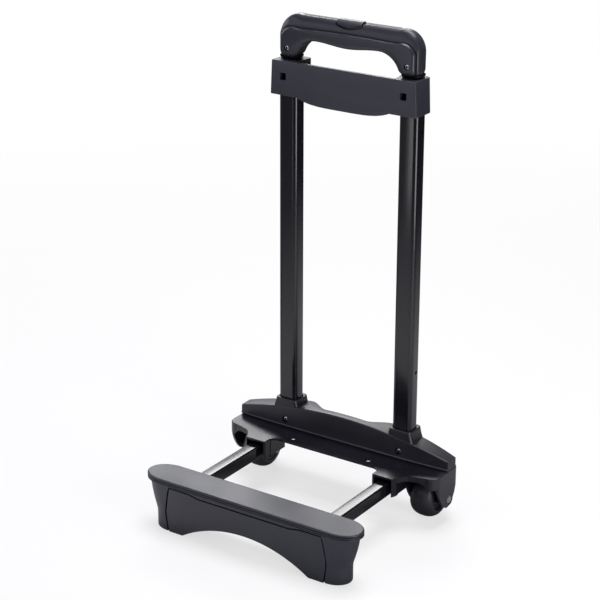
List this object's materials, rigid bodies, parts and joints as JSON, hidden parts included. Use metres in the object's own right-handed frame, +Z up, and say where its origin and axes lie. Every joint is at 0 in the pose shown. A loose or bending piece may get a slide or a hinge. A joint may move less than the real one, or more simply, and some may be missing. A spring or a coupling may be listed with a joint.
{
  "type": "instrument case trolley",
  "caption": "Upright two-wheeled trolley for an instrument case, with a two-stage telescoping handle and a foot bar whose front pulls out to make the legs longer.",
  "frame": {"origin": "on the floor, under the middle of the whole trolley", "axes": "+Z up along the uprights, +X along the wheel axles, -Y towards the foot bar"},
  "size_m": [0.275, 0.2224, 0.5383],
  "materials": {
    "moulded_plastic": "fine satin texture, black",
    "grip_plastic": "smooth satin, black",
    "soft_insert": "matt, black",
    "black_tube": "gloss black anodised",
    "nylon": "plain, black",
    "zinc_steel": "bright zinc plated",
    "tyre_rubber": "matt, black",
    "hub_plastic": "satin, black"
  },
  "bodies": {
    "frame": {"upright_tube_left": "black_tube", "upright_tube_right": "black_tube", "crossbar": "moulded_plastic", "base_cover": "moulded_plastic", "base_tray": "moulded_plastic", "cover_screw_left": "zinc_steel", "cover_screw_right": "zinc_steel", "axle_bolt_left": "zinc_steel", "axle_bolt_right": "zinc_steel", "axle_nut_left": "zinc_steel", "axle_nut_right": "zinc_steel", "leg_tube_left": "black_tube", "leg_tube_right": "black_tube", "leg_block_left": "nylon", "leg_block_right": "nylon", "foot_body": "moulded_plastic", "foot_top_plate": "moulded_plastic"},
    "middle_stage": {"middle_tube_left": "black_tube", "middle_tube_right": "black_tube", "middle_lock_plug_left": "nylon", "middle_lock_plug_right": "nylon", "middle_collar_left": "nylon", "middle_collar_right": "nylon"},
    "middle_pin_left": {"middle_lock_pin_left": "zinc_steel"},
    "middle_pin_right": {"middle_lock_pin_right": "zinc_steel"},
    "handle": {"grip_front_shell": "grip_plastic", "grip_rear_shell": "grip_plastic", "grip_top_insert": "soft_insert", "grip_screw_left": "zinc_steel", "grip_screw_right": "zinc_steel", "inner_tube_left": "black_tube", "inner_tube_right": "black_tube", "inner_lock_plug_left": "nylon", "inner_lock_plug_right": "nylon", "handle_collar_left": "nylon", "handle_collar_right": "nylon"},
    "release": {"release_button": "grip_plastic", "release_yoke": "nylon", "push_rod_left": "zinc_steel", "push_rod_right": "zinc_steel"},
    "inner_pin_left": {"inner_lock_pin_left": "zinc_steel"},
    "inner_pin_right": {"inner_lock_pin_right": "zinc_steel"},
    "wheel_left": {"wheel_tyre_left": "tyre_rubber", "wheel_hub_left": "hub_plastic"},
    "wheel_right": {"wheel_tyre_right": "tyre_rubber", "wheel_hub_right": "hub_plastic"},
    "leg_extension": {"extension_panel": "moulded_plastic", "extension_rod_left": "zinc_steel", "extension_rod_right": "zinc_steel"}
  },
  "joints": [
    {"name": "middle_stage_slide", "type": "slide", "parent": "frame", "child": "middle_stage", "axis": [0, 0, 1], "range_m": [0, 0.27]},
    {"name": "middle_pin_left_slide", "type": "slide", "parent": "middle_stage", "child": "middle_pin_left", "axis": [-1, 0, 0], "range_m": [0, 0.0014], "stiffness_N_per_m": 60},
    {"name": "middle_pin_right_slide", "type": "slide", "parent": "middle_stage", "child": "middle_pin_right", "axis": [1, 0, 0], "range_m": [0, 0.0014], "stiffness_N_per_m": 60},
    {"name": "handle_slide", "type": "slide", "parent": "middle_stage", "child": "handle", "axis": [0, 0, 1], "range_m": [0, 0.245]},
    {"name": "release_push", "type": "slide", "parent": "handle", "child": "release", "axis": [0, 0, -1], "range_m": [0, 0.003], "stiffness_N_per_m": 400, "springref_m": -0.004},
    {"name": "inner_pin_left_slide", "type": "slide", "parent": "handle", "child": "inner_pin_left", "axis": [1, 0, 0], "range_m": [0, 0.0015]},
    {"name": "inner_pin_right_slide", "type": "slide", "parent": "handle", "child": "inner_pin_right", "axis": [-1, 0, 0], "range_m": [0, 0.0015]},
    {"name": "wheel_left_spin", "type": "hinge", "parent": "frame", "child": "wheel_left", "pos_m": [-0.1104, 0.08665, 0.0247], "axis": [1, 0, 0], "continuous": true},
    {"name": "wheel_right_spin", "type": "hinge", "parent": "frame", "child": "wheel_right", "pos_m": [0.1104, 0.08665, 0.0247], "axis": [1, 0, 0], "continuous": true},
    {"name": "leg_extension_slide", "type": "slide", "parent": "frame", "child": "leg_extension", "axis": [0, -1, 0], "range_m": [0, 0.09]}
  ],
  "couplings": [
    {"joint": "inner_pin_left_slide", "follows": "release_push", "ratio": 0.46},
    {"joint": "inner_pin_right_slide", "follows": "release_push", "ratio": 0.46}
  ]
}
